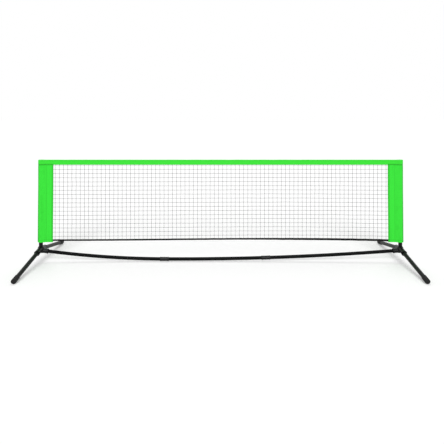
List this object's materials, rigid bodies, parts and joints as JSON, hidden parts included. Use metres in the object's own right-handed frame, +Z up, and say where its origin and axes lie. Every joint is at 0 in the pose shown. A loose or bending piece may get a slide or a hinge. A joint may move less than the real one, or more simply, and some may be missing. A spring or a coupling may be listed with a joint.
{
  "type": "pickleball portable net",
  "caption": "Portable pickleball net: mesh with a green top tape and pole sleeves on a free-standing black tube frame with moulded hubs and splayed legs.",
  "frame": {"origin": "on the floor, midway between the posts and in the plane of the net", "axes": "+X along the net to the right as seen from the front, -Y towards the front, +Z up"},
  "size_m": [3.0504, 1.0106, 0.85],
  "materials": {
    "frame_tube": "black powder coat, satin",
    "hub_plastic": "moulded black nylon, fine grain",
    "coupler_plastic": "moulded black plastic",
    "foot_rubber": "moulded black rubber",
    "tape_vinyl": "bright green coated tape",
    "sleeve_cloth": "bright green polyester cloth",
    "mesh_twine": "dark grey braided twine",
    "binding_web": "black woven binding",
    "head_cord": "white braided cord",
    "cap_plastic": "moulded black plastic"
  },
  "bodies": {
    "base": {"left_hub": "hub_plastic", "right_hub": "hub_plastic", "base_bar_left": "frame_tube", "base_bar_middle": "frame_tube", "base_bar_right": "frame_tube", "base_coupler_left": "coupler_plastic", "base_coupler_right": "coupler_plastic"},
    "left_front_leg": {"left_front_leg": "frame_tube", "left_front_foot": "foot_rubber"},
    "left_rear_leg": {"left_rear_leg": "frame_tube", "left_rear_foot": "foot_rubber"},
    "right_front_leg": {"right_front_leg": "frame_tube", "right_front_foot": "foot_rubber"},
    "right_rear_leg": {"right_rear_leg": "frame_tube", "right_rear_foot": "foot_rubber"},
    "left_post": {"left_post": "frame_tube", "left_post_cap": "cap_plastic"},
    "right_post": {"right_post": "frame_tube", "right_post_cap": "cap_plastic"},
    "net": {"top_tape": "tape_vinyl", "head_cord": "head_cord", "net_mesh": "mesh_twine", "left_sleeve": "sleeve_cloth", "right_sleeve": "sleeve_cloth", "bottom_binding": "binding_web"}
  },
  "joints": [
    {"name": "left_front_leg_pull", "type": "slide", "parent": "base", "child": "left_front_leg", "axis": [0, -0.9848, -0.1736], "range_m": [0, 0.065]},
    {"name": "left_rear_leg_pull", "type": "slide", "parent": "base", "child": "left_rear_leg", "axis": [0, 0.9848, -0.1736], "range_m": [0, 0.065]},
    {"name": "right_front_leg_pull", "type": "slide", "parent": "base", "child": "right_front_leg", "axis": [0, -0.9848, -0.1736], "range_m": [0, 0.065]},
    {"name": "right_rear_leg_pull", "type": "slide", "parent": "base", "child": "right_rear_leg", "axis": [0, 0.9848, -0.1736], "range_m": [0, 0.065]},
    {"name": "left_post_lift", "type": "slide", "parent": "base", "child": "left_post", "axis": [0, 0, 1], "range_m": [0, 0.05]},
    {"name": "right_post_lift", "type": "slide", "parent": "base", "child": "right_post", "axis": [0, 0, 1], "range_m": [0, 0.05]},
    {"name": "net_lift", "type": "slide", "parent": "left_post", "child": "net", "axis": [0, 0, 1], "range_m": [0, 0.7]}
  ],
  "couplings": [
    {"joint": "right_post_lift", "follows": "left_post_lift", "ratio": 1}
  ]
}
